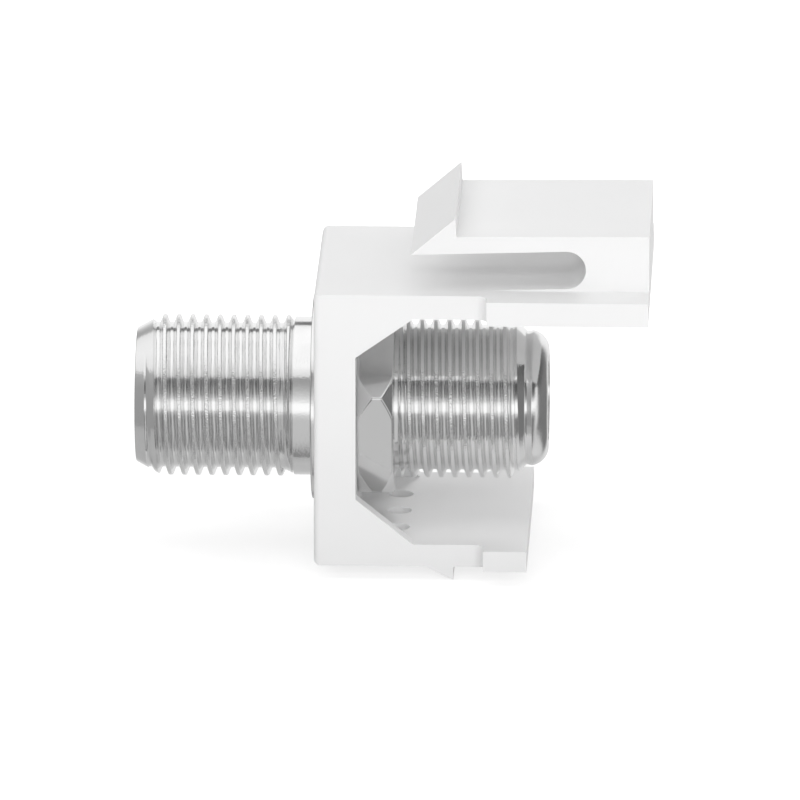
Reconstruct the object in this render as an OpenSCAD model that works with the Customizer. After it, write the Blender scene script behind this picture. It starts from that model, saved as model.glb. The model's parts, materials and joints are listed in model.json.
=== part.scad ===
/* [Front wall] */
// Width of the insert, and of the opening it snaps into
face_w = 14.5; // [14.2:0.1:14.8]
// Height of the front face
face_h = 16.2; // [15.8:0.1:16.4]
// How far the barrel's axis lies below the middle of that face
axis_drop = 0.05; // [0:0.01:0.1]
// Thickness of the front wall
wall_t = 2.4; // [2.2:0.1:2.8]
// Radius that rounds the four edges of the front face
face_edge_r = 0.35; // [0.2:0.05:0.6]
// Radius of the hole that the barrel passes through
hole_r = 4.75; // [4.7:0.01:4.8]

/* [Top and bottom plates] */
// Thickness of the top plate
top_t = 1.41; // [1.2:0.01:1.5]
// Thickness of the bottom plate
bottom_t = 1.31; // [1.2:0.01:1.5]
// Width across the wings, where the plates step out
wing_w = 17.1; // [16.5:0.1:17.5]
// Distance from the face to the top plate's wings
top_wing_x = 9.95; // [9.5:0.05:10.2]
// Distance from the face to the bottom plate's wings
bottom_wing_x = 9.76; // [9.5:0.02:10.2]
// Rear end of the top plate
top_end_x = 19.22; // [18.8:0.02:19.6]
// Rear end of the bottom plate
bottom_end_x = 12.27; // [11.8:0.01:12.5]
// How much thinner the bottom wings are, on their underside
wing_relief = 0.1; // [0:0.05:0.3]
// Fillet where the side of a plate meets the shoulder of its wing
shoulder_r = 0.55; // [0.3:0.05:0.8]

/* [Gussets] */
// Thickness of the four side gussets
gusset_t = 1; // [0.8:0.1:1.4]
// Length of a gusset along its plate
gusset_l = 3.3; // [3:0.1:3.6]
// How far a top gusset reaches down the wall
top_gusset_h = 2.33; // [2:0.01:2.8]
// How far a bottom gusset reaches up the wall
bottom_gusset_h = 2.66; // [2.2:0.01:3]

/* [Latch] */
// Width of the latch
latch_w = 12.15; // [11.5:0.05:12.8]
// Height of the top of the arm above the plate, behind its tooth
arm_h = 3.18; // [3.1:0.01:3.3]
// How much the top of the arm rises to the rear
arm_rise = 0.1; // [0:0.02:0.2]
// Height of the arm's sharp front edge above the plate
arm_tip_h = 2.1; // [2:0.02:2.3]
// Distance from the face to that edge
arm_tip_x = 5.55; // [5.4:0.01:6]
// Distance from the face to the top of the latch tooth
tooth_x = 8.1; // [8:0.05:8.4]
// Height of the latch tooth above the arm
tooth_h = 1.1; // [0.7:0.05:1.2]
// Radius of the round end of the slot under the arm
slot_r = 1.115; // [1:0.005:1.2]
// Distance from the face to the middle of that round end
block_x = 14.47; // [14.2:0.01:15]
// How far the slot's floor climbs towards its round end
slot_climb = 0.145; // [0.05:0.005:0.2]
// Distance from the face to where that climb starts
slot_climb_x = 8; // [7:0.5:10]

/* [Lower catch] */
// Distance from the face to the start of the lower catch's ramp
catch_x = 6.4; // [6:0.1:6.8]
// Length of that ramp
catch_l = 1.63; // [1.4:0.01:1.8]
// How far the lower catch hangs below the bottom plate
catch_h = 0.8; // [0.5:0.05:0.9]

/* [Floor dimples] */
// Radius of the three dimples in the floor
dimple_r = 0.7; // [0.5:0.01:0.8]
// Depth of the dimples
dimple_depth = 0.6; // [0.3:0.1:0.9]
// Distance from the face to the row of dimples
dimple_x = 4.72; // [4.4:0.02:5.2]
// Distance between the dimples
dimple_step = 3.28; // [3:0.02:3.8]
// How far the row of dimples lies to the near side of the middle
dimple_shift = 0.45; // [0:0.05:0.6]

/* [Barrel] */
// Radius over the threads of both ports
thread_r = 4.65; // [4.6:0.01:4.7]
// Radius at which the nut's thread meets the barrel's thread
shank_r = 4.42; // [4.35:0.01:4.45]
// How far the front port reaches out of the face
front_reach = 10.47; // [10:0.01:11]
// Distance from the face to the nose of the rear port
rear_reach = 13.33; // [13:0.01:13.8]
// Radius of the flat end of the front port
front_end_r = 3.87; // [3.7:0.01:3.9]
// Axial length of the cone that leads a cable nut onto the front thread
front_cone_l = 1.44; // [1.2:0.02:1.6]
// Radius of the flange that seats in the front wall
flange_r = 5.95; // [5.8:0.05:6.1]
// How far the flange stands proud of the face
flange_proud = 0.28; // [0.1:0.02:0.4]
// How deep the flange is let into the wall
flange_depth = 1; // [0.8:0.1:1.2]
// Radius of the plain collar in front of the flange
collar_r = 4.58; // [4.5:0.01:4.65]
// Length of that collar
collar_l = 1.07; // [0.9:0.01:1.3]
// Radius of the rolled nose of the rear port
nose_r = 3.92; // [3.85:0.01:4]
// Radius of the curve that the nose is rolled to
nose_curve_r = 1.16; // [1.1:0.01:1.25]
// Axial length of the rolled nose
nose_l = 0.9; // [0.8:0.02:1]
// Radius of the narrow neck between the nose and the thread
neck_r = 3.78; // [3.7:0.01:3.85]
// Axial length of that neck
neck_l = 0.4; // [0.3:0.05:0.5]
// Axial length of the cone behind the rear thread
rear_cone_l = 0.87; // [0.6:0.01:1]
// Radius at the small end of that cone
rear_cone_r = 3.95; // [3.85:0.01:4.1]
// Radius of the bore inside the barrel
bore_r = 3.3; // [3.2:0.05:3.35]
// Radius of the opening in both ends
mouth_r = 2.6; // [2.4:0.05:2.7]
// Thickness of the lips round these openings
lip_t = 0.8; // [0.7:0.05:0.9]

/* [Nut] */
// Distance across the nut's flats
nut_flats = 11; // [10.9:0.1:11.2]
// Thickness of the nut
nut_t = 2.1; // [2:0.05:2.2]
// How far the nearest corner of the nut stands above the level of the axis
nut_turn = 15; // [0:1:59]
// Radius of the flat ring that the nut's chamfers leave on each face
nut_face_r = 5.77; // [5.7:0.01:5.95]

/* [Inner pieces] */
// How far the insulators' faces lie inside the ends of the barrel
insulator_recess = 0.2; // [0.1:0.05:0.3]
// Radius of the holes that take the centre conductors
socket_r = 0.65; // [0.6:0.01:0.7]
// Length of the straight part of these holes
socket_l = 1; // [0.8:0.1:1.2]
// Radius of the chamber that the contact lies in
chamber_r = 1.35; // [1.3:0.05:1.5]
// Radius over the spring fingers of the contact
finger_r = 1.1; // [1:0.05:1.2]
// Length of the slots between the spring fingers
finger_l = 5; // [3:0.5:6]
// Width of the slots between the spring fingers
finger_slot = 0.3; // [0.2:0.05:0.4]

/* [Hidden] */
$fn = 96;
past = 1;
half_w = face_w / 2;
top_z = face_h / 2 + axis_drop;
bottom_z = top_z - face_h;
ceiling_z = top_z - top_t;
floor_z = bottom_z + bottom_t;
wing_out = (wing_w - face_w) / 2;
slot_floor_z = top_z + slot_climb;
slot_end_z = slot_floor_z + slot_r;
arm_tip_z = top_z + arm_tip_h;
arm_top_z = top_z + arm_h;
tooth_back = 0.06;
thread_front_x = front_cone_l - front_reach;
recess_gap = 0.05;
recess_r = flange_r + recess_gap;
flange_bevel = 0.1;
collar_x = -flange_proud - collar_l;
runout_l = 0.25;
runout_r = 4.4;
nut_end_x = wall_t + nut_t;
relief_l = 0.22;
relief_r = 4.2;
nose_x = rear_reach - nose_l;
neck_x = nose_x - neck_l;
rear_thread_end_x = neck_x - rear_cone_l;
nose_lead = 0.23;
nose_centre_r = nose_r - sqrt(nose_curve_r * nose_curve_r - nose_lead * nose_lead);
nose_root = 0.1;
nut_corner_r = nut_flats / (2 * cos(30));
nut_front_chamfer = 0.9;
nut_rear_chamfer = 0.65;
inner_front_x = lip_t - front_reach;
inner_rear_x = rear_reach - lip_t;
inner_mid_x = (inner_front_x + inner_rear_x) / 2;
insulator_l = inner_mid_x - inner_front_x;
slide_gap = 0.02;
boss_gap = 0.04;
boss_r = mouth_r - boss_gap;
boss_l = lip_t - insulator_recess;
funnel_r = 1.1;
funnel_l = 0.5;
chamber_end = funnel_l - boss_l + socket_l;
chamber_l = 2 * (insulator_l - chamber_end);
contact_play = 0.5;
contact_l = chamber_l - 2 * contact_play;
contact_band_l = 5;
contact_bore_r = 0.75;
pinch_r = 0.45;
pinch_l = 0.8;
flare_r = 0.8;
flare_l = 0.5;

// Turns what is drawn along +Z to lie along +X
module along_x() rotate([0, 90, 0]) children();

// Extrudes a side view drawn in X and Z across the insert, centred on the axis
module across(width) rotate([90, 0, 0]) linear_extrude(width, center = true) children();

// The sliver that lies outside a rounded corner, with the corner at the origin
module corner_sliver(r) difference() {
    square(r);
    translate([r, r]) circle(r);
}

// A plate seen from above: the full width to end_x, with wings from wing_x on
module plate_plan(wing_x, end_x) {
    translate([0, -half_w]) square([end_x, face_w]);
    for (side = [0, 1]) mirror([0, side]) {
        translate([wing_x, half_w - past]) square([end_x - wing_x, wing_out + past]);
        translate([wing_x, half_w]) mirror([1, 0]) corner_sliver(shoulder_r);
    }
}

// The front wall, whose front edges are rounded at the top and bottom
module front_wall() across(face_w) difference() {
    translate([0, bottom_z]) square([wall_t, face_h]);
    translate([0, bottom_z]) corner_sliver(face_edge_r);
    translate([0, top_z]) mirror([0, 1]) corner_sliver(face_edge_r);
}

// The top plate starts behind the rounded edge of the front wall
module top_plate() intersection() {
    translate([0, 0, ceiling_z]) linear_extrude(top_t) plate_plan(top_wing_x, top_end_x);
    translate([face_edge_r, -wing_w, 0]) cube([top_end_x, 2 * wing_w, face_h]);
}

module bottom_plate() difference() {
    translate([0, 0, bottom_z]) linear_extrude(bottom_t) plate_plan(bottom_wing_x, bottom_end_x);
    across(2 * wing_w) translate([0, bottom_z]) corner_sliver(face_edge_r);
    for (side = [0, 1]) mirror([0, side, 0])
        translate([bottom_wing_x - shoulder_r, half_w, bottom_z - past])
            cube([bottom_end_x, wing_w, wing_relief + past]);
}

// Four triangular gussets stiffen the open sides between the wall and the plates
module gussets() {
    for (side = [-1, 1]) translate([0, side * (half_w - gusset_t / 2), 0]) across(gusset_t) {
        polygon([
            [wall_t, ceiling_z - top_gusset_h],
            [wall_t + gusset_l, ceiling_z],
            [wall_t, ceiling_z]
        ]);
        polygon([
            [wall_t, floor_z + bottom_gusset_h],
            [wall_t, floor_z],
            [wall_t + gusset_l, floor_z]
        ]);
    }
}

// The latch: a block on the top plate, a springy arm with a ramped tooth, and between the arm and the
// plate a slot that narrows to its round end, so that it leaves the mould
module latch() across(latch_w) difference() {
    polygon([
        [arm_tip_x, arm_tip_z],
        [tooth_x, arm_top_z + tooth_h],
        [tooth_x + tooth_back, arm_top_z],
        [top_end_x, arm_top_z + arm_rise],
        [top_end_x, top_z],
        [slot_climb_x, top_z],
        [block_x, slot_floor_z],
        [block_x, slot_end_z + slot_r]
    ]);
    translate([block_x, slot_end_z]) circle(slot_r);
}

// The fixed catch under the bottom plate, a ramp that ends in a square step
module lower_catch() across(face_w) polygon([
    [catch_x, bottom_z],
    [catch_x + catch_l, bottom_z - catch_h],
    [catch_x + catch_l, bottom_z]
]);

// One white moulding: wall, plates, gussets, latch and catch
module housing() color("white") difference() {
    union() {
        front_wall();
        top_plate();
        bottom_plate();
        gussets();
        latch();
        lower_catch();
    }
    for (side = [0, 1]) mirror([0, side, 0])
        translate([0, -half_w, -face_h]) linear_extrude(2 * face_h) corner_sliver(face_edge_r);
    translate([-past, 0, 0]) along_x() cylinder(wall_t + 2 * past, r = hole_r);
    translate([-past, 0, 0]) along_x() cylinder(flange_depth + past, r = recess_r);
    for (place = [-1:1])
        translate([dimple_x, place * dimple_step - dimple_shift, floor_z - dimple_depth])
            cylinder(dimple_depth + past, r = dimple_r);
}

// Half section of the barrel's outside, with the distance along the axis first
module barrel_outline() {
    polygon([
        [-front_reach, 0],
        [-front_reach, front_end_r],
        [thread_front_x, thread_r],
        [collar_x - runout_l, thread_r],
        [collar_x - runout_l, runout_r],
        [collar_x, runout_r],
        [collar_x, collar_r],
        [-flange_proud, collar_r],
        [-flange_proud, flange_r - flange_bevel],
        [flange_bevel - flange_proud, flange_r],
        [flange_depth, flange_r],
        [flange_depth, shank_r],
        [nut_end_x, shank_r],
        [nut_end_x, relief_r],
        [nut_end_x + relief_l, relief_r],
        [nut_end_x + relief_l, thread_r],
        [rear_thread_end_x, thread_r],
        [neck_x, rear_cone_r],
        [neck_x, neck_r],
        [nose_x + nose_root, neck_r],
        [nose_x + nose_root, 0]
    ]);
}

// Half section of the rolled nose, one round curve from the neck to the flat rear end
module nose_outline() intersection() {
    translate([nose_x, 0]) square([nose_l, nose_r]);
    union() {
        translate([nose_x - nose_lead, nose_centre_r]) circle(nose_curve_r);
        square([rear_reach, nose_centre_r]);
    }
}

// The barrel shell, turned from one bar: two ports, a flange between them, a rolled rear nose
module barrel_shell() color("silver") along_x() difference() {
    union() {
        rotate_extrude() mirror([1, -1]) barrel_outline();
        rotate_extrude() mirror([1, -1]) nose_outline();
    }
    translate([0, 0, inner_front_x]) cylinder(inner_rear_x - inner_front_x, r = bore_r);
    translate([0, 0, -front_reach - past])
        cylinder(front_reach + rear_reach + 2 * past, r = mouth_r);
}

// A cone that chamfers a nut's corners down to face_r over length
module nut_cone(length) {
    slope = (nut_corner_r - nut_face_r) / length;
    rise = nut_t + past;
    cylinder(rise, r1 = nut_face_r, r2 = nut_face_r + slope * rise);
}

// The hex nut that clamps the barrel from behind the wall, chamfered on both faces
module hex_nut() color("gainsboro") translate([wall_t, 0, 0]) along_x() difference() {
    intersection() {
        rotate(30 - nut_turn) cylinder(nut_t, r = nut_corner_r, $fn = 6);
        nut_cone(nut_front_chamfer);
        translate([0, 0, nut_t]) mirror([0, 0, 1]) nut_cone(nut_rear_chamfer);
    }
    translate([0, 0, -past]) cylinder(nut_t + 2 * past, r = shank_r);
}

// One insulator, with its face at -boss_l and its seat in the barrel at zero
module insulator() rotate_extrude() difference() {
    union() {
        square([bore_r - slide_gap, insulator_l]);
        translate([0, -boss_l]) square([boss_r, boss_l]);
    }
    translate([0, -boss_l]) polygon([[0, 0], [funnel_r, 0], [socket_r, funnel_l], [0, funnel_l]]);
    translate([0, -boss_l]) square([socket_r, funnel_l + socket_l]);
    translate([0, chamber_end]) square([chamber_r, insulator_l]);
}

module front_insulator() color("ivory") translate([inner_front_x, 0, 0]) along_x() insulator();

module rear_insulator() color("ivory") translate([inner_rear_x, 0, 0]) mirror([1, 0, 0])
    along_x() insulator();

// Half section of one end of the contact, from its middle to its mouth
module contact_outline() difference() {
    union() {
        square([finger_r, contact_l / 2]);
        square([chamber_r, contact_band_l / 2]);
    }
    square([contact_bore_r, contact_l / 2 - flare_l - pinch_l]);
    square([pinch_r, contact_l]);
    translate([0, contact_l / 2 - flare_l])
        polygon([[0, 0], [pinch_r, 0], [flare_r, flare_l], [0, flare_l]]);
}

// The double-ended contact, a slotted spring tube that grips one conductor at each end
module center_contact() color("goldenrod") translate([inner_mid_x, 0, 0])
    for (end = [0, 1]) mirror([end, 0, 0]) along_x() difference() {
        rotate_extrude() contact_outline();
        for (turn = [0, 90]) rotate(turn)
            translate([-past - finger_r, -finger_slot / 2, contact_l / 2 - finger_l])
                cube([2 * (finger_r + past), finger_slot, finger_l + past]);
    }

housing();
barrel_shell();
hex_nut();
front_insulator();
rear_insulator();
center_contact();
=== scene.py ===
# %% [markdown]
# A snap-in coaxial insert: a white moulded housing round a nickel-plated threaded barrel.
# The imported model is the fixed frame. It gives every size and place, so this script only adds
# what the frame leaves plain: the turns of the threads, the softened edges and the finishes.

# %% Load the frame
import json
import math

import bmesh
import bpy
from mathutils import Matrix, Vector


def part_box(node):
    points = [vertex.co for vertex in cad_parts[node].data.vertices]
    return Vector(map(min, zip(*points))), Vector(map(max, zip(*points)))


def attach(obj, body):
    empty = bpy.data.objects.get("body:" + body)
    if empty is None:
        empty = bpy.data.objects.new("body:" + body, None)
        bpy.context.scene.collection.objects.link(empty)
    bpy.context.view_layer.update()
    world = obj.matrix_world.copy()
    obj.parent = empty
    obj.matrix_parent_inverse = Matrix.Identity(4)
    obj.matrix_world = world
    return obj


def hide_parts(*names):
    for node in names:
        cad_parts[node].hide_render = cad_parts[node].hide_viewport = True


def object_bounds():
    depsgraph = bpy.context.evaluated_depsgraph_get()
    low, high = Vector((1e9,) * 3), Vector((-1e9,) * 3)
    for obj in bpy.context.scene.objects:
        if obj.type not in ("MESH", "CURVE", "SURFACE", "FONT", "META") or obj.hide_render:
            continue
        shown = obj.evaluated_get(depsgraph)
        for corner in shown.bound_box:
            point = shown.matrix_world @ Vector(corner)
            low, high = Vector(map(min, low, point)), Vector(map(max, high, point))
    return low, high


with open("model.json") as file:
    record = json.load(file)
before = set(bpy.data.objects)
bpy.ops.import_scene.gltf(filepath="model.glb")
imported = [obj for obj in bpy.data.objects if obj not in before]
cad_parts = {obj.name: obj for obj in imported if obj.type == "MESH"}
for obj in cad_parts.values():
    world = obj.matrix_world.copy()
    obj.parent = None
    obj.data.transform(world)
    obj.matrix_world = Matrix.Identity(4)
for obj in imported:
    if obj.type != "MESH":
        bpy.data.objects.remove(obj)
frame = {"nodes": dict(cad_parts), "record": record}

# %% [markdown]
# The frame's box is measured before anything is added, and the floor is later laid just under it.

cad_low, cad_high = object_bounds()
print("frame box in mm:", [round(v * 1000, 2) for v in (*cad_low, *cad_high)])

# %% [markdown]
# Small things are easier to model in millimetres than in metres: merge distances and bevel widths
# are then plain numbers. So every mesh here is shaped in millimetres, and scaled down once at the end.
# Smooth shading would bend a flat face towards the bevel beside it, and a mirror shows that at once,
# so each piece gets weighted normals, in which the large face wins. They are worked out while the
# mesh is still in millimetres, because in metres its faces are too small for that modifier to weigh.

# %% Units and the last step of each new piece
MM = 0.001
PER_METRE = 1 / MM
MICRON = 0.000001
MERGE = 0.0005
SHARP_SHADING = math.radians(40)


def finished(bm, name, node):
    """Make a millimetre mesh an object in metres, and let it stand for a CAD node."""
    bmesh.ops.remove_doubles(bm, verts=bm.verts, dist=MERGE)
    bmesh.ops.recalc_face_normals(bm, faces=bm.faces)
    rough = bpy.data.meshes.new(name + "_rough")
    bm.to_mesh(rough)
    bm.free()
    rough.shade_smooth()
    rough.set_sharp_from_angle(angle=SHARP_SHADING)
    piece = bpy.data.objects.new(name, rough)
    bpy.context.scene.collection.objects.link(piece)
    flat = piece.modifiers.new("flat faces stay flat", "WEIGHTED_NORMAL")
    flat.keep_sharp = True
    depsgraph = bpy.context.evaluated_depsgraph_get()
    mesh = bpy.data.meshes.new_from_object(piece.evaluated_get(depsgraph))
    piece.modifiers.clear()
    piece.data = mesh
    bpy.data.meshes.remove(rough)
    mesh.name = name
    mesh.transform(Matrix.Scale(MM, 4))
    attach(piece, "root")
    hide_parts(node)
    print(name, len(mesh.vertices), "vertices,", len(mesh.polygons), "faces")
    return piece


# %% [markdown]
# The camera stands in front and a little above, and very far back: the photograph has almost no
# perspective. A long lens on a distant camera gives the same flat look as the catalogue picture.

# %% Camera
azimuth = math.radians(1.9)
elevation = math.radians(16.5)
distance = 1.05
focal_pixels = 18165
frame_pixels = 800
aim = Vector((4.725, 0, -0.226)) * MM
away = Vector((
    math.sin(azimuth) * math.cos(elevation),
    -math.cos(azimuth) * math.cos(elevation),
    math.sin(elevation),
))
camera_data = bpy.data.cameras.new("camera")
camera_data.sensor_width = 36
camera_data.lens = focal_pixels / frame_pixels * camera_data.sensor_width
camera_data.clip_start = 0.05
camera_data.clip_end = 20
camera = bpy.data.objects.new("camera", camera_data)
camera.location = aim + away * distance
camera.rotation_mode = "QUATERNION"
camera.rotation_quaternion = (-away).to_track_quat("-Z", "Y")
bpy.context.scene.collection.objects.link(camera)
bpy.context.scene.camera = camera
print("lens", round(camera_data.lens, 1), "mm")

# %% [markdown]
# A turned part is a half section swept once round its axis. `spin` does exactly that to a chain of
# edges. The sharp rings are then bevelled, because a lathe tool and the plating leave no knife edges.

# %% Turning helper
STEPS = 192
SHARP_EDGE = math.radians(25)
turned_bevel = 0.04


def soften(bm, edges, width, segments):
    """Bevel those of the edges whose two faces turn sharply."""
    sharp = [
        edge for edge in edges
        if len(edge.link_faces) == 2 and edge.calc_face_angle(0) > SHARP_EDGE
    ]
    bmesh.ops.bevel(
        bm, geom=sharp, offset=width, offset_type="OFFSET", affect="EDGES",
        segments=segments, profile=0.5, material=-1, clamp_overlap=True,
    )


def turned(bm, outline):
    """Spin an open half section of (x, radius) points round X, and soften its sharp rings."""
    verts = [bm.verts.new((x, 0, r)) for x, r in outline]
    edges = [bm.edges.new(pair) for pair in zip(verts, verts[1:])]
    before = set(bm.faces)
    bmesh.ops.spin(
        bm, geom=verts + edges, cent=(0, 0, 0), axis=(1, 0, 0), dvec=(0, 0, 0),
        angle=2 * math.pi, steps=STEPS, use_merge=True, use_duplicate=False,
    )
    made = [face for face in bm.faces if face not in before]
    rings = {edge for face in made for edge in face.edges}
    soften(bm, rings, turned_bevel, 2)


# %% [markdown]
# Both ports carry the same fine right-hand thread, with 32 turns to the inch. Its tooth has steep
# flanks, a narrow crest and a round root, and one profile from root to root is all that is drawn.

# %% Tooth of the thread
record_mounts = {mount["name"]: mount for mount in frame["record"]["mounts"]}
crest_r = record_mounts["front_port"]["dims"]["r_mm"]
pitch = 25.4 / 32
thread_depth = 0.46
root_r = crest_r - thread_depth
root_round = 0.09
crest_round = 0.05
crest_width = 0.2
flank_lean = math.radians(22)
arc_steps = 3


def tooth_profile():
    """One pitch of the thread, from the middle of a root to the middle of the next."""
    swing = math.pi / 2 - flank_lean
    turns = [swing * step / arc_steps for step in range(arc_steps + 1)]
    crest_x = pitch / 2 - crest_width / 2 + crest_round * math.tan(swing / 2)
    flank_top_x = crest_x - crest_round * math.sin(swing)
    flank_top_r = crest_r - crest_round * (1 - math.cos(swing))
    flank_foot_r = root_r + root_round * (1 - math.cos(swing))
    flank_run = (flank_top_r - flank_foot_r) * math.tan(flank_lean)
    root_x = flank_top_x - flank_run - root_round * math.sin(swing)
    half = [(0, root_r)]
    half += [(root_x + root_round * math.sin(a), root_r + root_round * (1 - math.cos(a))) for a in turns]
    half += [
        (crest_x - crest_round * math.sin(a), crest_r - crest_round * (1 - math.cos(a)))
        for a in reversed(turns)
    ]
    return half + [(pitch - x, r) for x, r in reversed(half)]


print("thread: pitch", round(pitch, 3), "mm, crest radius", round(crest_r, 3), "mm")

# %% [markdown]
# The tooth advances by one pitch for each turn, so `spin` with a step along the axis sweeps it as a
# true helix, and the turns meet each other exactly. A tool's run-out and the end cones limit how far
# each point may stand out, so the first and last turns fade as they do on a real port.

# %% Thread helper
def cut_across(bm, x, normal, clear):
    """Cut the mesh square to the axis at x; if clear, what lies on the normal's side goes."""
    bmesh.ops.bisect_plane(
        bm, geom=[*bm.verts, *bm.edges, *bm.faces], plane_co=(x, 0, 0), plane_no=normal,
        dist=0.0001, clear_outer=clear, clear_inner=False,
    )


def radius_on(outline, x):
    """The radius of a piecewise straight outline at x."""
    for (x0, r0), (x1, r1) in zip(outline, outline[1:]):
        if x <= x1:
            return r0 + (r1 - r0) * max(0.0, (x - x0) / (x1 - x0))
    return outline[-1][1]


def threaded(bm, ceiling, floor, phase):
    """A helical thread held between two outlines, cut off square at both of their ends."""
    start, end = ceiling[0][0], ceiling[-1][0]
    turns = math.ceil((end - start) / pitch) + 3
    first = start - 2 * pitch + (phase - start) % pitch
    verts = [bm.verts.new((first + x, 0, r)) for x, r in tooth_profile()]
    edges = [bm.edges.new(pair) for pair in zip(verts, verts[1:])]
    bmesh.ops.spin(
        bm, geom=verts + edges, cent=(0, 0, 0), axis=(1, 0, 0), dvec=(pitch / STEPS, 0, 0),
        angle=2 * math.pi, steps=STEPS, use_merge=False, use_duplicate=False,
    )
    one_turn = [*bm.verts, *bm.edges, *bm.faces]
    for turn in range(1, turns):
        copy = bmesh.ops.duplicate(bm, geom=one_turn)["geom"]
        moved = [part for part in copy if isinstance(part, bmesh.types.BMVert)]
        bmesh.ops.translate(bm, vec=(turn * pitch, 0, 0), verts=moved)
    bmesh.ops.remove_doubles(bm, verts=bm.verts, dist=MERGE)
    cut_across(bm, start, (-1, 0, 0), clear=True)
    cut_across(bm, end, (1, 0, 0), clear=True)
    for place, _ in ceiling[1:-1]:
        cut_across(bm, place, (1, 0, 0), clear=False)
    for vert in bm.verts:
        across = Vector((0, vert.co.y, vert.co.z))
        low, high = radius_on(floor, vert.co.x), radius_on(ceiling, vert.co.x)
        across *= min(max(across.length, low), high) / across.length
        vert.co.y, vert.co.z = across.y, across.z


# %% [markdown]
# The barrel is made in parts that end in open rings. A ring of the thread and a ring of the turned
# part don't have the same points, so a narrow gap is left between them and bridged with one strip.

# %% Joining helpers
seam_gap = 0.03
seam_slack = 0.002


def join(bm, other):
    """Add another mesh to bm, and free it."""
    holder = bpy.data.meshes.new("holder")
    other.to_mesh(holder)
    other.free()
    bm.from_mesh(holder)
    bpy.data.meshes.remove(holder)


def bridge(bm, x):
    """Join the two open rings that lie at x and a gap before or after it."""
    edges = [
        edge for edge in bm.edges
        if edge.is_boundary and all(abs(vert.co.x - x) < seam_gap + seam_slack for vert in edge.verts)
    ]
    bmesh.ops.bridge_loops(bm, edges=edges)


# %% [markdown]
# The barrel is one piece of turned brass. Its half section runs from the flat front end, in through
# the mouth and along the bore, out of the rear mouth and back over the rolled nose. A second half
# section is the middle: the run-out, the plain collar, the knurled flange and the shank in the wall.

# %% Barrel sizes in millimetres
barrel_low, barrel_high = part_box("barrel_shell")
front_x = barrel_low.x * PER_METRE
nose_end_x = barrel_high.x * PER_METRE
flange_r = barrel_high.z * PER_METRE
front_end_r = 3.87
front_cone_length = 1.44
plain_tip = 0.3
cone_x = front_x + front_cone_length
thread_start_x = front_x + plain_tip
cone_slope = (crest_r - front_end_r) / (cone_x - front_x)
thread_start_r = front_end_r + cone_slope * (thread_start_x - front_x)
runout_x = -1.6
runout_r = 4.4
collar_x = -1.35
collar_r = 4.58
flange_front_x = -0.28
flange_back_x = 1.0
rim_drop = 0.04
rim_width = 0.06
lip = 0.8
mouth_r = 2.6
bore_r = 3.3
shank_r = 4.42
nut_end_x = 4.5
relief_x = 4.72
relief_r = 4.2
nose_length = 0.9
neck_length = 0.4
neck_floor = 0.15
rear_cone_length = 0.87
nose_x = nose_end_x - nose_length
nose_r = 3.92
neck_x = nose_x - neck_length
neck_r = 3.87
rear_cone_x = neck_x - rear_cone_length
rear_cone_r = 3.95
print("barrel from", round(front_x, 2), "to", round(nose_end_x, 2), "mm")

# %% [markdown]
# The nose is the brass rolled in over the insulator: one round curve from the neck to the flat end.

# %% Rolled nose
nose_bend = 1.16
nose_lead = 0.23
nose_centre_r = nose_r - math.sqrt(nose_bend ** 2 - nose_lead ** 2)


def nose_curve(count=12):
    """Points of the nose's curve, from the flat end back to the neck."""
    first = math.acos((nose_end_x - nose_x + nose_lead) / nose_bend)
    last = math.acos(nose_lead / nose_bend)
    turns = [first + (last - first) * step / (count - 1) for step in range(count)]
    return [
        (nose_x - nose_lead + nose_bend * math.cos(a), nose_centre_r + nose_bend * math.sin(a))
        for a in turns
    ]


print("radius at the nose's flat end:", round(nose_curve()[0][1], 2), "mm")

# %% [markdown]
# On the lathe the barrel is one bar of brass. Here two open half sections are spun, because the threads
# fill the gaps between them. The inside is turned as well, since both mouths are open to view.

# %% Turn the ends and the inside
barrel = bmesh.new()
inside_and_nose = [
    (thread_start_x - seam_gap, thread_start_r - cone_slope * seam_gap),
    (front_x, front_end_r),
    (front_x, mouth_r),
    (front_x + lip, mouth_r),
    (front_x + lip, bore_r),
    (nose_end_x - lip, bore_r),
    (nose_end_x - lip, mouth_r),
    (nose_end_x, mouth_r),
    *nose_curve(),
    (neck_x + neck_floor, neck_r),
    (neck_x, neck_r),
    (neck_x, rear_cone_r),
]
turned(barrel, inside_and_nose)
print("ends and inside:", len(barrel.faces), "faces")

# %% [markdown]
# The middle has the flange that the nut pulls against the wall. Its rim has a small chamfer in front,
# and behind it the plain shank runs through the wall and the nut.

# %% Turn the middle
middle = [
    (collar_x, runout_r),
    (collar_x, collar_r),
    (flange_front_x, collar_r),
    (flange_front_x, flange_r - rim_drop),
    (flange_front_x + rim_width, flange_r),
    (flange_back_x, flange_r),
    (flange_back_x, shank_r),
    (nut_end_x, shank_r),
    (nut_end_x, relief_r),
    (relief_x, relief_r),
]
turned(barrel, middle)
print("with the middle:", len(barrel.faces), "faces")

# %% [markdown]
# The flange's rim has a fine knurl, pressed in by a toothed wheel. Every second column of the rim's
# points moves inwards, which gives straight flutes, one for every two steps of the spin.

# %% Knurl the flange's rim
knurl_depth = 0.06
knurl_band = 0.1
knurled = 0
for vert in barrel.verts:
    radius = math.hypot(vert.co.y, vert.co.z)
    turn = round(math.atan2(vert.co.z, vert.co.y) / (2 * math.pi) * STEPS)
    if radius > flange_r - knurl_band and turn % 2:
        vert.co.y *= 1 - knurl_depth / radius
        vert.co.z *= 1 - knurl_depth / radius
        knurled += 1
print(knurled, "points of the rim moved in")

# %% [markdown]
# Each thread is held between a ceiling, which is the blank that the tool cuts into, and a floor, which
# is how deep the tool reaches. The front one starts on the cone and runs out before the collar. A
# phase puts its crests in their real places along the axis.

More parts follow.
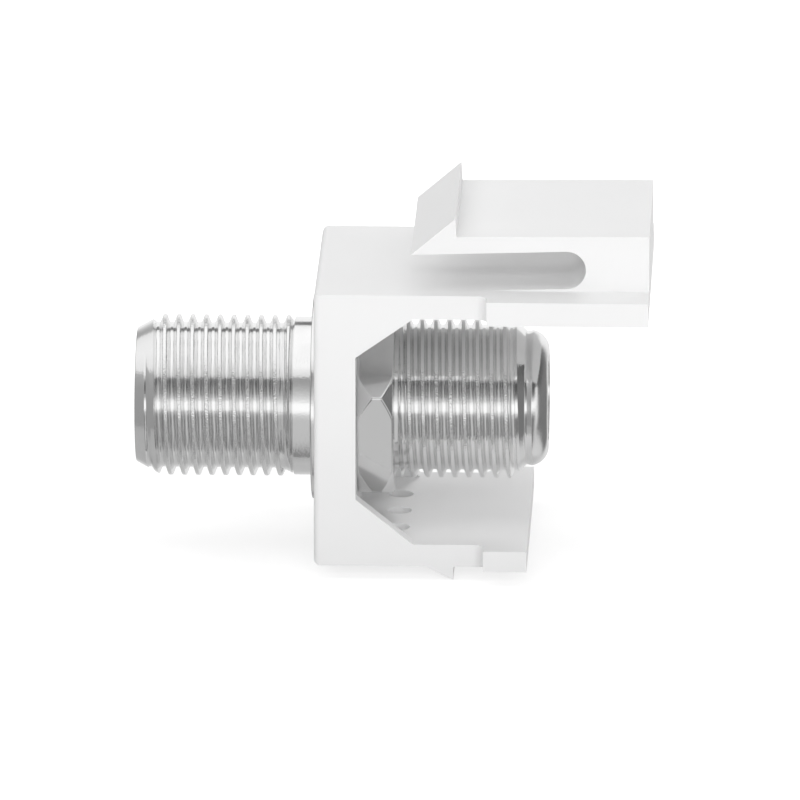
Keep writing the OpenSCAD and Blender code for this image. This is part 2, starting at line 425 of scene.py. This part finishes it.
# %% Cut the front thread
front_phase = -8.84
first_bite = 0.05
runout_length = 0.5
front_thread = bmesh.new()
threaded(
    front_thread,
    ceiling=[(thread_start_x, thread_start_r), (cone_x, crest_r), (runout_x, crest_r),
             (collar_x - seam_gap, runout_r)],
    floor=[(thread_start_x, thread_start_r), (thread_start_x + first_bite, root_r),
           (runout_x - runout_length, root_r), (runout_x, runout_r), (collar_x - seam_gap, runout_r)],
    phase=front_phase + pitch / 2,
)
print("front thread:", len(front_thread.faces), "faces")
join(barrel, front_thread)

# %% [markdown]
# The rear thread starts at the relief behind the nut and ends on the cone before the nose. The cone
# is cut lower than the roots, so there the floor only has to lie below it.

# %% Cut the rear thread
rear_phase = 6.02
lead_in = 0.15
below_cone_r = 3
rear_thread = bmesh.new()
threaded(
    rear_thread,
    ceiling=[(relief_x + seam_gap, relief_r), (relief_x + lead_in, crest_r), (rear_cone_x, crest_r),
             (neck_x - seam_gap, rear_cone_r)],
    floor=[(relief_x + seam_gap, relief_r), (relief_x + lead_in, root_r), (rear_cone_x, root_r),
           (neck_x - seam_gap, below_cone_r)],
    phase=rear_phase + pitch / 2,
)
print("rear thread:", len(rear_thread.faces), "faces")
join(barrel, rear_thread)

# %% [markdown]
# Now the open rings are bridged. A shell without open edges has a clear inside and outside, so its
# normals can be worked out, and light can't leak through it.

# %% Close the barrel
for seam_x in (thread_start_x, collar_x, relief_x, neck_x):
    bridge(barrel, seam_x)
print("open edges left in the barrel:", sum(edge.is_boundary for edge in barrel.edges))
threaded_barrel = finished(barrel, "threaded_barrel", "barrel_shell")

# %% [markdown]
# The housing and the nut have their true form in the frame, but every edge there is razor sharp, and
# an edge without a radius catches no light. A copy of each is merged, its flat faces are joined, and
# its edges get a small bevel. The mould rounds the plastic, and the plating rounds the nut.

# %% Softened copies of the housing and the nut
copy_merge = 0.001
flat_limit = math.radians(0.5)


def softened(node, name, width):
    """A copy of a CAD node whose sharp edges are rounded by width, in millimetres."""
    bm = bmesh.new()
    bm.from_mesh(frame["nodes"][node].data)
    bmesh.ops.scale(bm, vec=(PER_METRE,) * 3, verts=bm.verts)
    bmesh.ops.remove_doubles(bm, verts=bm.verts, dist=copy_merge)
    bmesh.ops.dissolve_limit(
        bm, angle_limit=flat_limit, use_dissolve_boundaries=False,
        verts=bm.verts, edges=bm.edges, delimit=set(),
    )
    soften(bm, bm.edges, width, 3)
    return finished(bm, name, node)


moulded_housing = softened("housing", "moulded_housing", 0.1)
chamfered_nut = softened("hex_nut", "chamfered_nut", 0.12)

# %% [markdown]
# Materials are node trees on Object coordinates, which stay put on the piece from any view. The
# coordinates are in metres, so a noise with a scale of 1000 has features about a millimetre wide.

# %% Material helper
def new_material(name):
    """A material with its node tree, its Principled shader and its Object coordinates."""
    material = bpy.data.materials.new(name)
    material.use_nodes = True
    tree = material.node_tree
    shader = tree.nodes["Principled BSDF"]
    place = tree.nodes.new("ShaderNodeTexCoord")
    return material, tree, shader, place.outputs["Object"]


# %% [markdown]
# A node tree soon gets long, and most of it is the same few steps: a noise, a change of range, a sum or
# product, a length. A small function for each makes a material read like a recipe.

# %% Node helpers
def noise(tree, place, scale, detail, stretch=(1, 1, 1)):
    """Noise on Object coordinates, stretched by a Mapping node."""
    mapping = tree.nodes.new("ShaderNodeMapping")
    mapping.inputs["Scale"].default_value = stretch
    texture = tree.nodes.new("ShaderNodeTexNoise")
    texture.inputs["Scale"].default_value = scale
    texture.inputs["Detail"].default_value = detail
    tree.links.new(place, mapping.inputs["Vector"])
    tree.links.new(mapping.outputs["Vector"], texture.inputs["Vector"])
    return texture.outputs["Fac"]


def ranged(tree, value, start, end, low, high, smooth=False):
    """Turn a value that runs from start to end into one that runs from low to high."""
    node = tree.nodes.new("ShaderNodeMapRange")
    if smooth:
        node.interpolation_type = "SMOOTHSTEP"
    node.inputs["From Min"].default_value = start
    node.inputs["From Max"].default_value = end
    node.inputs["To Min"].default_value = low
    node.inputs["To Max"].default_value = high
    tree.links.new(value, node.inputs["Value"])
    return node.outputs["Result"]


def combined(tree, operation, first, second):
    """One Math node on two values, either of which may be a plain number."""
    node = tree.nodes.new("ShaderNodeMath")
    node.operation = operation
    for socket, value in zip(node.inputs, (first, second)):
        if isinstance(value, (int, float)):
            socket.default_value = value
        else:
            tree.links.new(value, socket)
    return node.outputs["Value"]


def separated(tree, vector):
    """The X, Y and Z sockets of a vector."""
    node = tree.nodes.new("ShaderNodeSeparateXYZ")
    tree.links.new(vector, node.inputs["Vector"])
    return node.outputs


def flattened(tree, vector, *axes):
    """A vector with only the named axes kept, and 0 in the others."""
    node = tree.nodes.new("ShaderNodeCombineXYZ")
    parts = separated(tree, vector)
    for axis in axes:
        tree.links.new(parts[axis], node.inputs[axis])
    return node.outputs["Vector"]


def length_of(tree, vector):
    """The length of a vector."""
    node = tree.nodes.new("ShaderNodeVectorMath")
    node.operation = "LENGTH"
    tree.links.new(vector, node.inputs[0])
    return node.outputs["Value"]


# %% [markdown]
# Two more helpers end a recipe. One mixes two colours by a mask, the other stacks bumps, each with
# its own depth, so that fine and coarse marks can lie on the same metal.

# %% Colour and bump helpers
def blend_colours(tree, factor, first, second):
    """Mix two colours by a 0 to 1 value; a colour is three plain numbers or a socket."""
    node = tree.nodes.new("ShaderNodeMix")
    node.data_type = "RGBA"
    tree.links.new(factor, node.inputs["Factor"])
    colour_sockets = [socket for socket in node.inputs if socket.type == "RGBA"]
    for socket, colour in zip(colour_sockets, (first, second)):
        if isinstance(colour, tuple):
            socket.default_value = (*colour, 1)
        else:
            tree.links.new(colour, socket)
    return next(socket for socket in node.outputs if socket.type == "RGBA")


def add_bump(tree, shader, layers):
    """Stack bumps on the shader's normal; each layer is a height value and its depth in metres."""
    normal = None
    for heights, depth in layers:
        node = tree.nodes.new("ShaderNodeBump")
        node.inputs["Distance"].default_value = depth
        tree.links.new(heights, node.inputs["Height"])
        if normal:
            tree.links.new(normal, node.inputs["Normal"])
        normal = node.outputs["Normal"]
    tree.links.new(normal, shader.inputs["Normal"])


# %% [markdown]
# Bright nickel plating is a mirror that is a little greyer than silver. What makes it look real is
# that it isn't perfect: a slight orange peel and faint clouds in the polish everywhere. The nose of
# the barrel was rolled in after turning, so its polish is a little duller.

# %% Nickel plating
cloudy = (0.35, 0.65)


def on_nose(tree, place, amount):
    """The amount on the rolled nose, fading to 0 over the groove before it."""
    return ranged(tree, separated(tree, place)["X"], neck_x * MM, nose_x * MM, 0, amount)


def nickel(name, tone, shine=0.1, peel=3 * MICRON, tint=(1, 1, 1), more_layers=()):
    """Bright nickel over turned brass."""
    material, tree, shader, place = new_material(name)
    shader.inputs["Metallic"].default_value = 1
    clouds = noise(tree, place, 700, 4)
    light = tuple(tone * channel for channel in tint)
    dull = tuple(tone * 0.95 * channel for channel in tint)
    colour = blend_colours(tree, ranged(tree, clouds, *cloudy, 0, 1), dull, light)
    tree.links.new(colour, shader.inputs["Base Color"])
    polish = ranged(tree, clouds, *cloudy, shine - 0.03, shine + 0.05)
    dullness = combined(tree, "ADD", polish, on_nose(tree, place, 0.06))
    tree.links.new(dullness, shader.inputs["Roughness"])
    layers = [(noise(tree, place, 7000, 1.5), peel)]
    for layer in more_layers:
        layers.append(layer(tree, place))
    add_bump(tree, shader, layers)
    return material


# %% [markdown]
# A thread shows how it was made. Its roots carry fine rings from the tool, which tilt the mirror to
# the left and right, and its crests are a little torn and grainy. The collar and the cones beside it
# are smooth, so a mask along the axis and one by radius keep these marks in their place. The rolled
# nose has broad soft waves instead.

# %% Marks of the tools
def along_threads(tree, place):
    """1 where the barrel is threaded, else 0."""
    along = separated(tree, place)["X"]
    mask = None
    for low, high in ((cone_x, runout_x), (relief_x, rear_cone_x)):
        after = combined(tree, "GREATER_THAN", along, low * MM)
        before = combined(tree, "LESS_THAN", along, high * MM)
        inside = combined(tree, "MULTIPLY", after, before)
        mask = combined(tree, "ADD", mask, inside) if mask else inside
    return mask


def tool_rings(tree, place):
    """Fine rings round the axis in the threads."""
    rings = noise(tree, place, 9000, 3, (1, 0.01, 0.01))
    return combined(tree, "MULTIPLY", rings, along_threads(tree, place)), 9 * MICRON


def crest_grain(tree, place):
    """A torn grain on the crests of the threads."""
    radius = length_of(tree, flattened(tree, place, "Y", "Z"))
    crest = ranged(tree, radius, (crest_r - 0.07) * MM, (crest_r - 0.02) * MM, 0, 1.4)
    grain = combined(tree, "MULTIPLY", noise(tree, place, 11000, 2), crest)
    return combined(tree, "MULTIPLY", grain, along_threads(tree, place)), 14 * MICRON


def rolled_waves(tree, place):
    """Soft waves where the nose was rolled in."""
    waves = noise(tree, place, 500, 0)
    return combined(tree, "MULTIPLY", waves, on_nose(tree, place, 1)), 200 * MICRON


# %% [markdown]
# The barrel and the nut share one recipe. The nut is a shade darker and less shiny, and its flat faces
# get half the orange peel, because there it shows most. The contact has the tint of bronze.

# %% Metal finishes
barrel_plating = nickel("barrel_plating", 0.88, more_layers=(tool_rings, crest_grain, rolled_waves))
nut_plating = nickel("nut_plating", 0.86, shine=0.12, peel=1.5 * MICRON)
spring_bronze = nickel("spring_bronze", 0.8, tint=(1, 0.84, 0.6))
print("metal finishes:", [finish.name for finish in (barrel_plating, nut_plating, spring_bronze)])

# %% [markdown]
# The housing is white ABS. It takes a satin gloss from the mould, with a grain too fine to see as
# such that only breaks up the reflections, and faint flow clouds. The insulators are a milky plastic,
# a little greyer and smoother.

# %% White plastic
def moulded_plastic(name, colour, roughness):
    """White moulded plastic with a fine tool texture."""
    material, tree, shader, place = new_material(name)
    shader.inputs["IOR"].default_value = 1.6
    flow = noise(tree, place, 150, 2)
    grain = noise(tree, place, 6000, 2)
    shade = tuple(channel * 0.985 for channel in colour)
    flow_colour = blend_colours(tree, ranged(tree, flow, *cloudy, 0, 1), shade, colour)
    tree.links.new(flow_colour, shader.inputs["Base Color"])
    satin = ranged(tree, grain, 0.3, 0.7, roughness - 0.05, roughness + 0.05)
    tree.links.new(satin, shader.inputs["Roughness"])
    add_bump(tree, shader, [(grain, 1.5 * MICRON)])
    return material


white_abs = moulded_plastic("white_abs", (0.92, 0.92, 0.92), 0.36)
milky_insulator = moulded_plastic("milky_insulator", (0.82, 0.82, 0.78), 0.3)
print("plastic finishes:", [finish.name for finish in (white_abs, milky_insulator)])

# %% [markdown]
# Three pieces are new meshes that stand in for their CAD nodes. The insulators and the contact keep
# their CAD meshes, since little more than their ends can be seen, and only get a finish.

# %% Give every piece its finish
finishes = {
    threaded_barrel: barrel_plating,
    chamfered_nut: nut_plating,
    moulded_housing: white_abs,
    frame["nodes"]["front_insulator"]: milky_insulator,
    frame["nodes"]["rear_insulator"]: milky_insulator,
    frame["nodes"]["center_contact"]: spring_bronze,
}
for piece, material in finishes.items():
    piece.data.materials.clear()
    piece.data.materials.append(material)
print(len(finishes), "pieces have a finish")

# %% [markdown]
# The floor is a plain sheet that the object stands on, a hair below it so that no faces coincide.
# Polished metal doesn't see it, because the room further down has a lower half of its own.

# %% Floor
floor_half = 4
floor_gap = 0.02 * MM
floor_data = bpy.data.meshes.new("floor")
floor_shape = bmesh.new()
bmesh.ops.create_grid(floor_shape, x_segments=1, y_segments=1, size=floor_half)
floor_shape.to_mesh(floor_data)
floor_shape.free()
floor = bpy.data.objects.new("floor", floor_data)
floor.location = (0, 0, cad_low.z - floor_gap)
floor.visible_glossy = False
bpy.context.scene.collection.objects.link(floor)
print("floor at", round(floor.location.z * PER_METRE, 2), "mm")

# %% [markdown]
# Seen by the camera the floor has to be white, so it glows a little by itself, and it still darkens
# under the object, which keeps the contact shadow. It also lights the object from below, as a white
# table does. Close
# to the object its glow is weaker: a painted shade of the object on the table, which the camera sees
# too.

# %% Finish of the floor
seen_glow = 0.6
painted_shade_glow = 0.1
far_glow = 0.5
near_edge = 0.02
far_edge = 0.04
floor_finish, floor_tree, floor_shader, floor_place = new_material("floor_finish")
floor_shader.inputs["Base Color"].default_value = (0.5, 0.5, 0.5, 1)
floor_shader.inputs["Roughness"].default_value = 1
floor_shader.inputs["Specular IOR Level"].default_value = 0
floor_shader.inputs["Emission Color"].default_value = (1, 1, 1, 1)
from_centre = length_of(floor_tree, floor_place)
# Near the object the glow is painted lower, as the object's shade on the table
glow = ranged(floor_tree, from_centre, near_edge, far_edge, painted_shade_glow, far_glow)
is_seen = floor_tree.nodes.new("ShaderNodeLightPath").outputs["Is Camera Ray"]
more_glow = combined(floor_tree, "MULTIPLY", is_seen, seen_glow)
whole_glow = combined(floor_tree, "ADD", glow, more_glow)
floor_tree.links.new(whole_glow, floor_shader.inputs["Emission Strength"])
floor_data.materials.append(floor_finish)

# %% [markdown]
# Polished metal shows the room, not itself. A product table stands in a white tent with a gap for the
# camera, so the room has sides that differ: dark on both sides of the lens between the table and
# the tent's roof, dark far to the right, grey to the left, and white behind with one dark strip.
# Each side is a ramp by height, and a mask by direction blends it over the one before.

# %% Directions in the room
studio = bpy.data.worlds.new("studio")
bpy.context.scene.world = studio
studio.use_nodes = True
sky = studio.node_tree
sky.nodes.clear()
direction = sky.nodes.new("ShaderNodeTexCoord").outputs["Generated"]
height = ranged(sky, separated(sky, direction)["Z"], -1, 1, 0, 1)
heading = sky.nodes.new("ShaderNodeVectorMath")
heading.operation = "NORMALIZE"
sky.links.new(flattened(sky, direction, "X", "Y"), heading.inputs[0])


def by_height(stops):
    """A grey level by height, from (degrees above the horizon, level) pairs."""
    node = sky.nodes.new("ShaderNodeValToRGB")
    ramp = node.color_ramp
    ramp.elements.remove(ramp.elements[0])
    for number, (degrees, level) in enumerate(stops):
        place = (math.sin(math.radians(degrees)) + 1) / 2
        stop = ramp.elements[0] if number == 0 else ramp.elements.new(place)
        stop.position = place
        stop.color = (level, level, level, 1)
    sky.links.new(height, node.inputs["Fac"])
    return node.outputs["Color"]


def towards(degrees, half_width, softness):
    """1 in the directions round degrees, counted from the camera's side to the right, else 0."""
    node = sky.nodes.new("ShaderNodeVectorMath")
    node.operation = "DOT_PRODUCT"
    turn = math.radians(degrees)
    node.inputs[1].default_value = (math.sin(turn), -math.cos(turn), 0)
    sky.links.new(heading.outputs["Vector"], node.inputs[0])
    outer = math.cos(math.radians(min(180, half_width + softness)))
    inner = math.cos(math.radians(max(0, half_width - softness)))
    return ranged(sky, node.outputs["Value"], outer, inner, 0, 1, smooth=True)


# %% [markdown]
# The levels below were found by looking at which strip of the room each part of the metal mirrors: a
# cylinder shows heights as bands, a cone shows the side it leans to. They run from the left side
# over the right side to the wide front, and last to the gap in which the camera stands.

# %% The room that the metal reflects
room_sides = [
    (towards(-90, 70, 10), by_height([
        (-90, 0.5), (-54, 0.47), (-35, 0.45), (-31, 0.33), (0, 0.36), (16, 0.37), (20, 0.4),
        (29, 0.45), (33, 0.9), (60, 1.1),
    ])),
    (towards(100, 45, 12), by_height([
        (-90, 0.7), (-45, 0.65), (-36, 0.2), (-6, 0.2), (8, 0.2), (26, 0.12), (40, 0.07), (62, 0.07),
        (75, 1.1),
    ])),
    (towards(0, 38, 8), by_height([
        (-90, 0.22), (-20, 0.22), (-13, 0.4), (-7, 1.15), (3, 1.15), (9, 0.6), (16.5, 0.22),
        (24, 0.12), (31, 0.08), (41.5, 0.06), (43, 0.7), (60, 0.85), (75, 1.1),
    ])),
    (towards(0, 9, 4), by_height([
        (-90, 0.5), (-53, 0.6), (-20, 0.6), (-13, 0.72), (-7, 1.15), (3, 1.15), (9, 0.85),
        (16.5, 0.66), (24, 0.53), (31, 0.43), (41.5, 0.36), (43, 0.8), (53, 1), (60, 1.15),
    ])),
]
room_colour = by_height([
    (-90, 0.55), (-54, 0.55), (-20, 0.8), (0, 1), (26, 1), (28, 0.2), (38, 0.2), (41, 1), (60, 1.15),
])
for side_mask, side_colour in room_sides:
    room_colour = blend_colours(sky, side_mask, room_colour, side_colour)
print("sides of the room:", len(room_sides) + 1)

# %% [markdown]
# Plastic takes its light from the same tent, but there the bright sides count and not the fine
# stripes. Most of it comes through the roof and the upper left, less from the whole right side, and
# a low band of it from behind.

# %% Light from the tent
roof_level = 1.0
tent_sides = [
    (towards(-90, 45, 10), by_height([(25, 0), (35, 1.48), (55, 1.48), (65, roof_level)])),
    (towards(90, 45, 10), by_height([(-3, 0), (3, 0.7), (35, 0.73), (55, 0.73), (65, roof_level)])),
    (towards(180, 45, 10), by_height([
        (-3, 0), (3, 0.6), (27, 0.6), (33, 0), (55, 0), (65, roof_level),
    ])),
]
tent_light = by_height([(55, 0), (65, roof_level)])
for side_mask, side_light in tent_sides:
    tent_light = blend_colours(sky, side_mask, tent_light, side_light)
print("sides of the tent:", len(tent_sides) + 1)

# %% [markdown]
# The last step of the world asks what kind of ray has arrived. Camera rays see plain white, and so
# would rays through glass, mirror rays see the room, and all others see the tent's light.

# %% Who sees what
rays = sky.nodes.new("ShaderNodeLightPath")


def background(colour=None):
    """A Background node, plain white unless told otherwise."""
    node = sky.nodes.new("ShaderNodeBackground")
    node.inputs["Color"].default_value = (1, 1, 1, 1)
    if colour:
        sky.links.new(colour, node.inputs["Color"])
    return node.outputs["Background"]


def chosen(is_ray, otherwise, then):
    """Show one shader to one kind of ray, and another to the rest."""
    node = sky.nodes.new("ShaderNodeMixShader")
    sky.links.new(is_ray, node.inputs["Fac"])
    sky.links.new(otherwise, node.inputs[1])
    sky.links.new(then, node.inputs[2])
    return node.outputs["Shader"]


sees_white = combined(sky, "MAXIMUM", rays.outputs["Is Camera Ray"], rays.outputs["Is Transmission Ray"])
surroundings = chosen(sees_white, background(colour=tent_light), background())
surroundings = chosen(rays.outputs["Is Glossy Ray"], surroundings, background(colour=room_colour))
sky_output = sky.nodes.new("ShaderNodeOutputWorld")
sky.links.new(surroundings, sky_output.inputs["Surface"])
print("nodes in the world:", len(sky.nodes))

# %% [markdown]
# Two lamps do the rest. A low wide one far behind draws the crisp shadows on the lower plate, and a
# large soft one in front lifts the side that the camera sees. The metal doesn't mirror them, because
# the room above already holds what it reflects.

# %% Lamps
def soft_box(name, azimuth_degrees, height_degrees, lamp_distance, size_x, size_y, brightness):
    """A rectangular lamp aimed at the object; at brightness 1 it alone makes a white face white."""
    lamp_data = bpy.data.lights.new(name, "AREA")
    lamp_data.shape = "RECTANGLE"
    lamp_data.size = size_x
    lamp_data.size_y = size_y
    lamp_data.energy = brightness * math.pi ** 2 * lamp_distance ** 2
    turn = math.radians(azimuth_degrees)
    rise = math.radians(height_degrees)
    outward = Vector((
        math.sin(turn) * math.cos(rise),
        -math.cos(turn) * math.cos(rise),
        math.sin(rise),
    ))
    lamp = bpy.data.objects.new(name, lamp_data)
    lamp.location = aim + outward * lamp_distance
    lamp.rotation_mode = "QUATERNION"
    lamp.rotation_quaternion = (-outward).to_track_quat("-Z", "Y")
    lamp.visible_glossy = False
    bpy.context.scene.collection.objects.link(lamp)
    return lamp


back_lamp = soft_box("back_lamp", 180, 17, 1.5, 0.5, 0.09, 0.42)
front_lamp = soft_box("front_lamp", 0, 21, 1.5, 1.6, 0.9, 0.66)

# The back lamp would lay a long shadow over the white floor in front, so it doesn't light the floor
floor_group = bpy.data.collections.new("unlit_by_back_lamp")
floor_group.objects.link(floor)
back_lamp.light_linking.receiver_collection = floor_group
floor_group.collection_objects[0].light_linking.link_state = "EXCLUDE"
print("lamps:", [lamp.name for lamp in (back_lamp, front_lamp)])

# %% [markdown]
# The Standard view shows a colour as it is written. A film look would turn the white plastic grey.

# %% Colour management
bpy.context.scene.view_settings.view_transform = "Standard"
